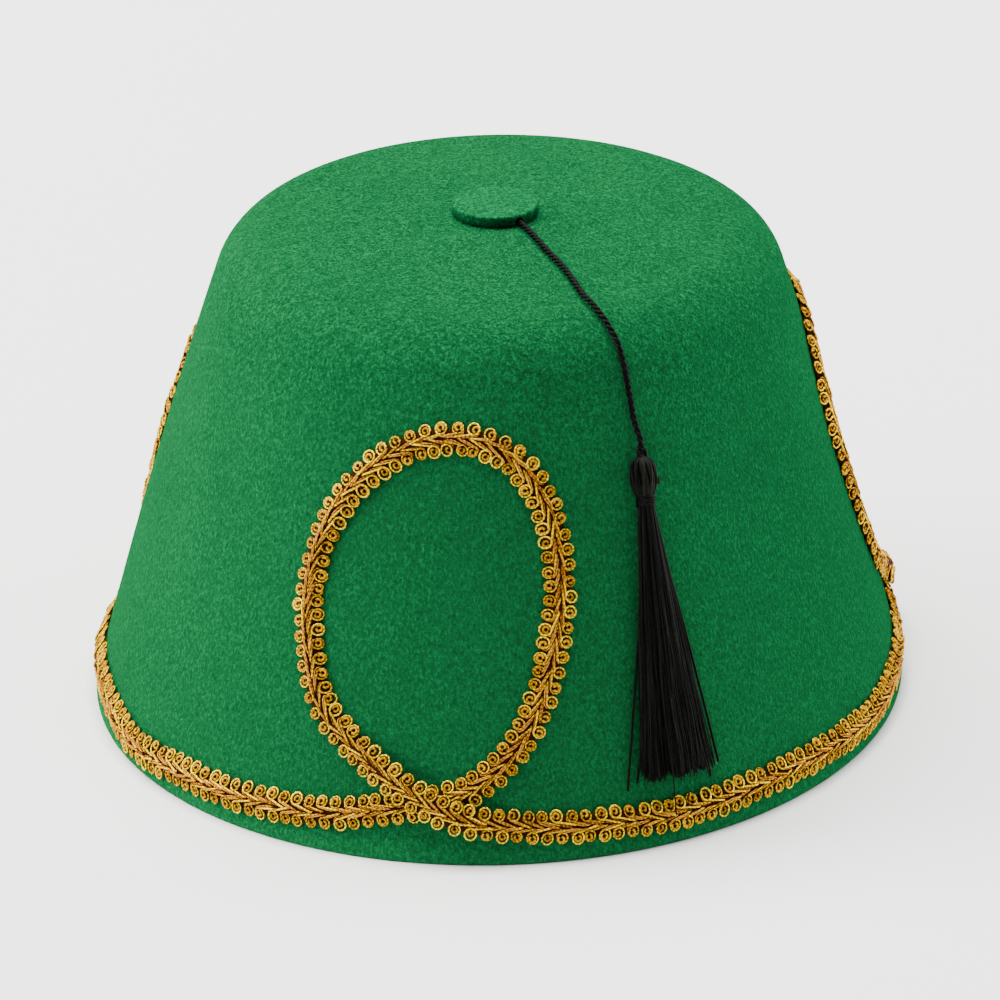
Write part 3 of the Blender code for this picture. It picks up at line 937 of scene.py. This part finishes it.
def innerLines(side):
    # the thread's end, wound on inside the curl
    line = []
    for share in np.linspace(0, 1, 9):
        angle = math.radians(-130 - 320 * share)
        radius = braid["innerRadius"] + 0.00012 * (1 - share)
        x = -0.00008 + radius * math.cos(angle)
        y = braid["curlMiddle"] + 0.00006 + radius * math.sin(angle)
        line.append(threadPlace(x, y, side, -0.00006 + 0.00004 * share))
    return [line]


def stemLines(side):
    # the curl's two other threads, off its near side and slanting in to the middle line
    near = (
        (-0.00124, 0.00205, -0.0002), (-0.00118, 0.00150, 0.00004), (-0.00070, 0.00104, 0.00014),
        (0.00020, 0.00078, 0.00014), (0.00120, 0.00052, 0.00010), (0.00210, 0.00030, 0.00002),
        (0.00270, 0.00024, -0.00022),
    )
    far = (
        (-0.00006, 0.00138, -0.0002), (0.00034, 0.00112, 0.00010), (0.00122, 0.00086, 0.00016),
        (0.00214, 0.00060, 0.00014), (0.00300, 0.00034, 0.00004), (0.00350, 0.00026, -0.00020),
    )
    return [[threadPlace(x, y, side, over) for x, y, over in line] for line in (near, far)]


def rowTree():
    # one thread shape set along a row of points, each turned, tipped and sized a bit differently
    floats = "threadRadius turnSpread tipSpread sizeSpread"
    add, given = newTree("curlsAlongBraid", "sides seed", floats, "threadLine")
    shape = add("GeometryNodeObjectInfo", [given["threadLine"]]).outputs["Geometry"]
    line = add("GeometryNodeMeshToCurve", [shape])
    tube = drawThread(add, given, noteLength(add, line))
    # each point notes how far it faces up off the braid, which the gold's material turns into
    # painted light on top and painted shade at the sides
    normal = add("GeometryNodeInputNormal")
    upward = add("ShaderNodeSeparateXYZ", [normal]).outputs["Z"]
    values = {"Geometry": tube, "Name": "threadTop", "Value": upward}
    topped = add("GeometryNodeStoreNamedAttribute", values, domain="POINT")
    facing, travel = (
        add("GeometryNodeInputNamedAttribute", [stored], data_type="FLOAT_VECTOR")
        for stored in ("facing", "travel")
    )
    axes = {"Primary Axis": facing, "Secondary Axis": travel}
    stand = add("FunctionNodeAxesToRotation", axes, primary_axis="Z", secondary_axis="X")
    tip, seed = given["tipSpread"], given["seed"]
    spread = add("ShaderNodeCombineXYZ", [tip, tip, given["turnSpread"]])
    less = add("ShaderNodeVectorMath", {0: spread, "Scale": -1.0}, "SCALE")
    small, large = (
        add("ShaderNodeMath", [1.0, given["sizeSpread"]], change)
        for change in ("SUBTRACT", "ADD")
    )
    sizes = {2: small, 3: large, "Seed": seed}
    size = add("FunctionNodeRandomValue", sizes, data_type="FLOAT").outputs[1]
    points = given["Geometry"]
    placed = scatter(add, points, topped, stand, less, spread, size, seed, seed)
    return endTree(add, given, placed)


def makeBraid():
    tree = rowTree()
    points, normals, ways = braidFrames(braid["step"])
    count = len(points)
    length = np.linalg.norm(np.roll(points, -1, axis=0) - points, axis=1).sum()
    curls = round(length / braid["pitch"])
    shapes = (
        # piece, lines, thread radius over the curls', how far it may be turned, material, seed
        ("braidCurls", curlLines, 1.0, 0.10, goldThread, 1),
        ("braidInnerCurls", innerLines, braid["innerThread"], 0.12, shadedCurlThread, 2),
        ("braidStems", stemLines, braid["stemThread"], 0.06, stemThread, 3),
    )
    made = {name: [] for name, *_ in shapes}
    for side in (1, -1):
        lag = 0.0 if side > 0 else braid["rowShift"]
        at = (np.arange(curls) / curls + lag / length) * count
        at = np.round(at).astype(int) % count
        row = helperMesh("curlRow", points[at], facing=normals[at], travel=ways[at])
        for name, shape, thickness, spread, thread, seed in shapes:
            line = helperLines("threadLine", shape(side))
            values = {**braid, "threadLine": line, "turnSpread": spread}
            values["threadRadius"] *= thickness
            values["seed"] += 10 * seed + side
            made[name].append(bakeNodes(name, row, tree, thread, **values))
            dropHelpers(line)
        dropHelpers(row)
    for name, pieces in made.items():
        finishPiece(joinPieces(name, pieces), "gold_gimp", "gold_braid")
    makeBraidCore(points[::3], normals[::3])


def stripTree():
    # a cross-section drawn along a closed line whose points know which way is off the felt
    add, given = newTree("stripAlongBraid", objects="section")
    line = add("GeometryNodeMeshToCurve", [given["Geometry"]])
    facing = add("GeometryNodeInputNamedAttribute", ["facing"], data_type="FLOAT_VECTOR")
    held = add("GeometryNodeSetCurveNormal", {"Curve": line, "Normal": facing}, mode="FREE")
    shape = add("GeometryNodeObjectInfo", [given["section"]]).outputs["Geometry"]
    section = add("GeometryNodeMeshToCurve", [shape])
    return endTree(add, given, drawThread(add, given, noteLength(add, held), section))


def makeBraidCore(points, normals):
    # the threads that hold the curls together, seen only between them, where their dark colour is
    # partly painted shade; it lies on the felt
    section = (
        (-0.00028, -0.00245), (0.00022, -0.00245), (0.00076, -0.00120), (0.00122, 0.00000),
        (0.00076, 0.00120), (0.00022, 0.00245), (-0.00028, 0.00245),
    )
    rounds = [(k, (k + 1) % len(section)) for k in range(len(section))]
    shape = helperMesh("coreSection", [(off, across, 0) for off, across in section], rounds)
    rounds = [(k, (k + 1) % len(points)) for k in range(len(points))]
    line = helperMesh("coreLine", points, rounds, facing=normals)
    piece = bakeNodes("braidCore", line, stripTree(), coreThread, section=shape)
    dropHelpers(shape, line)
    facesOut(piece)
    finishPiece(piece, "gold_gimp", "gold_braid")


makeBraid()


# tassel: a knot, a head of floss laid over its core, a bound neck and a skirt of loose threads
tassel = {
    "knotAt": (36.6, 0.0828, 0.0028),  # degrees, height, off the felt
    "neckAt": (36.1, 0.0718, 0.0035),
    "knotRadius": 0.00038,
    "coreSides": 20,
    "headThreads": 30,
    "headThreadRadius": 0.00033,
    "headFrom": 0.0017,  # down from the knot
    "headLength": 0.0086,
    "bindFrom": 0.0101,
    "bindLength": 0.0024,
    "bindReach": 0.00193,  # off the neck's axis
    "bindTurns": 4,
    "bindRadius": 0.00032,
    "sideKnotRadius": 0.00026,
    "sides": 8,
}
skirt = {
    "top": 0.0118,  # down from the knot
    "topWide": 0.0018,  # half the bunch's width and depth there
    "topDeep": 0.0017,
    "middle": 37.6,  # degrees, at the hem
    "spread": 5.6,  # degrees either side of that
    "hemSpread": 0.00045,
    "threads": 420,
    "threadRadius": 0.00016,
    "sides": 5,
    "joints": 10,
    "locks": 22,
    "lockSpread": 0.085,  # how far threads stray from their lock, over half the bunch
    "waver": 0.0030,
    "waverSize": 0.018,
    "seed": 31,
}
# a few stiffer ends that stand apart from the skirt
strays = {**skirt, "threadRadius": 0.00030, "locks": 4, "waver": 0.0006}
# distance down from the knot's top, radius
tasselTurned = (
    (0.0000, 0.00005), (0.0018, 0.00060), (0.0021, 0.00145), (0.0028, 0.00205),
    (0.0042, 0.00245), (0.0062, 0.00262), (0.0080, 0.00240), (0.0092, 0.00195),
    (0.0099, 0.00150), (0.0124, 0.00150), (0.0132, 0.00090), (0.0138, 0.00010),
)
# degrees, height of the skirt's ragged lower edge
tasselHem = (
    (31.6, 0.0168), (32.3, 0.0158), (33.2, 0.0146), (34.6, 0.0144), (36.0, 0.0154),
    (37.6, 0.0141), (39.3, 0.0149), (41.0, 0.0145), (42.6, 0.0139), (43.6, 0.0147),
)
# where each stiffer end leaves the skirt and where it ends, degrees and height, and its bow
tasselStrays = (
    (33.2, 0.0440, 30.0, 0.0132, -0.2),
    (32.4, 0.0225, 31.4, 0.0143, 0.0),
    (39.8, 0.0552, 44.3, 0.0148, 0.3),
    (42.0, 0.0220, 42.8, 0.0122, 0.1),
)


def tasselAxis():
    # knot, unit vector down the head, and two more across it
    knot, _ = onWall(math.radians(tassel["knotAt"][0]), *tassel["knotAt"][1:])
    neck, normal = onWall(math.radians(tassel["neckAt"][0]), *tassel["neckAt"][1:])
    down = (neck - knot).normalized()
    across = down.cross(normal).normalized()
    return knot, down, across, across.cross(down)


def aboutHead(along, radius, turn):
    # a place down from the knot and round the head's axis
    knot, down, across, out = tasselAxis()
    return knot + down * along + (across * math.cos(turn) + out * math.sin(turn)) * radius


def knotLine(centre, wide, tall, deep, count):
    # a trefoil drawn along three vectors
    line = []
    for t in np.linspace(0, math.tau, count):
        x, y = math.sin(t) + 2 * math.sin(2 * t), math.cos(t) - 2 * math.cos(2 * t)
        line.append(centre + wide * x + tall * y - deep * math.sin(3 * t))
    return line


def tasselLines():
    # head threads, binding, the knot's ties, and the binding's own end tied off at the right
    knot, down, across, out = tasselAxis()
    head = []
    for k in range(tassel["headThreads"]):
        turn = math.tau * k / tassel["headThreads"]
        slant, off = (0.55, 0.00012) if k % 3 else (-0.25, 0.00026)
        line = []
        for share in np.linspace(0, 1, 11):
            along = tassel["headFrom"] + share * tassel["headLength"]
            radius = float(np.interp(along, *zip(*tasselTurned)))
            line.append(aboutHead(along, radius + off, turn + share * slant))
        head.append(line)
    binding = []
    for share in np.linspace(0, 1, 15 * tassel["bindTurns"]):
        turn = math.tau * tassel["bindTurns"] * share
        along = tassel["bindFrom"] + tassel["bindLength"] * share
        binding.append(aboutHead(along, tassel["bindReach"], turn))
    ties = knotLine(knot + down * 0.0008, across * 0.00036, out * 0.00028, down * 0.0008, 40)
    right = across if across.x > 0 else -across
    centre = knot + down * 0.0071 + right * 0.0029 + out * 0.0006
    sideKnot = knotLine(centre, right * 0.00020, down * 0.00026, out * 0.00025, 28)
    return head, [binding], [ties], [sideKnot]


def tasselCore():
    # the closed form that the head's threads lie on
    sides = tassel["coreSides"]
    points, faces = [], []
    for along, radius in tasselTurned:
        points += [aboutHead(along, radius, math.tau * k / sides) for k in range(sides)]
    for low in range(0, len(points) - sides, sides):
        for k in range(sides):
            n = (k + 1) % sides
            faces.append((low + k, low + n, low + sides + n, low + sides + k))
    faces.append(tuple(range(sides))[::-1])
    faces.append(tuple(range(len(points) - sides, len(points))))
    core = helperMesh("tasselCore", points, faces=faces)
    facesOut(core)
    core.data.materials.append(blackFloss)
    core.data.shade_smooth()
    return core


def flossTree():
    # every point carries where its thread starts, bends and ends; each becomes one hanging thread
    floats = "threadRadius waver waverSize"
    add, given = newTree("hangingThreads", "joints sides seed", floats)
    line = add("GeometryNodeMeshLine", {"Count": given["joints"], "Offset": (0, 0, -0.001)})
    strand = add("GeometryNodeMeshToCurve", [line])
    hung = add("GeometryNodeInstanceOnPoints", {"Points": given["Geometry"], "Instance": strand})
    strands = add("GeometryNodeRealizeInstances", [hung])
    share = add("GeometryNodeSplineParameter").outputs["Factor"]
    rest = add("ShaderNodeMath", [1.0, share], "SUBTRACT")
    place = (0, 0, 0)
    for stored, first, second, times in (
        ("start", rest, rest, 1.0), ("bend", share, rest, 2.0), ("finish", share, share, 1.0)
    ):
        product = add("ShaderNodeMath", [first, second], "MULTIPLY")
        weight = add("ShaderNodeMath", [product, times], "MULTIPLY")
        point = add("GeometryNodeInputNamedAttribute", [stored], data_type="FLOAT_VECTOR")
        part = add("ShaderNodeVectorMath", {0: point, "Scale": weight}, "SCALE")
        place = add("ShaderNodeVectorMath", [place, part], "ADD")
    number = add("GeometryNodeInputNamedAttribute", ["number"], data_type="FLOAT")
    waveSize = add("ShaderNodeMath", [1.0, given["waverSize"]], "DIVIDE")
    values = {"Vector": place, "W": number, "Scale": waveSize, "Detail": 1.0}
    wave = add("ShaderNodeTexNoise", values, noise_dimensions="4D").outputs[1]
    swing = add("ShaderNodeVectorMath", [wave, (0.5, 0.5, 0.5)], "SUBTRACT")
    amount = add("ShaderNodeMath", [given["waver"], share], "MULTIPLY")
    stray = add("ShaderNodeVectorMath", {0: swing, "Scale": amount}, "SCALE")
    values = {"Geometry": strands, "Position": place, "Offset": stray}
    laid = add("GeometryNodeSetPosition", values)
    toned = noteTone(add, noteLength(add, laid), given["seed"], "CURVE")
    return endTree(add, given, drawThread(add, given, toned))


def skirtThreads():
    # where each thread of the skirt starts, bends and ends
    chance = np.random.default_rng(skirt["seed"])
    knot, down, across, out = tasselAxis()
    azimuth, height, _ = tassel["neckAt"]
    top = knot + down * skirt["top"]
    threads = []

    def lay(root, endAt, hem, level, deep, bow):
        half = 0.52 + chance.uniform(-0.05, 0.05)
        middleAt = azimuth * (1 - half) + endAt * half + bow
        lifted = 0.0030 * (1 - half) + level * half + 0.0004 * deep
        middle, _ = onWall(math.radians(middleAt), height * (1 - half) + hem * half, lifted)
        threads.append((root, middle, onWall(math.radians(endAt), hem, level)[0]))

    locks = []
    for k in range(skirt["locks"]):
        turn, reach = 2.4 * k, math.sqrt((k + 0.5) / skirt["locks"])
        locks.append((reach * math.cos(turn), reach * math.sin(turn)))
    for k in range(skirt["threads"]):
        # threads cling together in locks, with darker gaps between them
        wide, deep = locks[k % len(locks)] + chance.normal(0, skirt["lockSpread"], 2)
        wide, deep = np.array((wide, deep)) / max(1.0, math.hypot(wide, deep))
        root = top + across * wide * skirt["topWide"] + out * deep * skirt["topDeep"]
        fan = (1 if across.x > 0 else -1) * wide
        endAt = skirt["middle"] + skirt["spread"] * fan
        hem = np.interp(endAt, *zip(*tasselHem)) + chance.normal(0.0003, skirt["hemSpread"])
        level = 0.0018 + 0.00125 * deep * math.sqrt(max(1 - 0.6 * fan * fan, 0.1))
        lay(root, endAt, hem, max(level, 0.0005), deep, fan)
    # one longer thread hangs down over the braid
    lay(top + out * 0.0016, 36.4, 0.0066, 0.0036, 1.0, -1.5)
    return threads


def strayThreads():
    threads = []
    for startAt, top, endAt, foot, bow in tasselStrays:
        middle = ((startAt + endAt) / 2 + bow, (top + foot) / 2, 0.0014)
        places = ((startAt, top, 0.0016), middle, (endAt, foot, 0.0009))
        threads.append([onWall(math.radians(at), high, off)[0] for at, high, off in places])
    return threads


def makeTassel():
    head, binding, ties, sideKnot = tasselLines()
    made = []
    for lines, radius, thread, seed in (
        (head, "headThreadRadius", blackFloss, 1),
        (binding, "bindRadius", blackCord, 2),
        (ties, "knotRadius", blackCord, 3),
        (sideKnot, "sideKnotRadius", blackFloss, 4),
    ):
        helper = helperLines("tasselLines", lines)
        values = {**tassel, "threadRadius": tassel[radius], "toneSeed": seed}
        made.append(bakeNodes("tasselThreads", helper, threads, thread, **values))
        dropHelpers(helper)
    headPiece = joinPieces("tasselHead", made + [tasselCore()])
    finishPiece(headPiece, "black_floss", "tassel")

    tree = flossTree()
    for name, lines, look in (
        ("tasselSkirt", skirtThreads(), skirt), ("tasselStrays", strayThreads(), strays)
    ):
        # the threads of one lock waver nearly together
        order = np.arange(len(lines))
        values = dict(zip(("start", "bend", "finish"), zip(*lines)))
        values["number"] = order % look["locks"] * 1.7 + order * 0.0009
        helper = helperMesh("threadRoots", values["start"], **values)
        piece = bakeNodes(name, helper, tree, blackFloss, **look)
        dropHelpers(helper)
        finishPiece(piece, "black_floss", "tassel")


makeTassel()


# studio: pale floor, a soft box at each side, a large one overhead and a weak one low in front
studio = {
    "floorSize": 6.0,
    "world": 0.41,
    "paper": ("#eeeeec", "#f6f6f4"),
    "aim": (0, 0, 0.05),
    "lights": (
        # name, place, size, power
        ("leftBox", (-2.0, -0.2, 0.9), 1.4, 94.0),
        ("rightBox", (1.9, 1.1, 0.6), 1.2, 46.0),
        ("topBox", (-0.35, 0.45, 2.2), 2.0, 190.0),
        ("frontBox", (0.1, -2.4, 0.45), 1.6, 5.0),
    ),
}


def makeStudio():
    half = studio["floorSize"] / 2
    corners = [(-half, -half, 0), (half, -half, 0), (half, half, 0), (-half, half, 0)]
    floor = helperMesh("studioFloor", corners, faces=[(0, 1, 2, 3)])
    material, add, shader = newMaterial("matteStudioPaper")  # rolled paper, no gloss
    place = add("ShaderNodeTexCoord").outputs["Object"]
    cloud = add("ShaderNodeTexNoise", {"Vector": place, "Scale": 3.0, "Detail": 2.0})
    ramp = add("ShaderNodeValToRGB", [cloud])
    setStops(ramp, *enumerate(studio["paper"]))
    setSockets(shader, {"Base Color": ramp, "Roughness": 0.9})
    floor.data.materials.append(material)
    world = bpy.data.worlds.new("softRoom")
    world.use_nodes = True
    sky = {"Color": linearOf("#fbfbff"), "Strength": studio["world"]}
    setSockets(world.node_tree.nodes["Background"], sky)
    bpy.context.scene.world = world
    for name, place, size, power in studio["lights"]:
        lamp = bpy.data.lights.new(name, "AREA")
        lamp.size, lamp.energy = size, power
        holder = bpy.data.objects.new(name, lamp)
        holder.location = place
        faceTowards(holder, studio["aim"])
        bpy.context.scene.collection.objects.link(holder)


makeStudio()
print("studio lit")
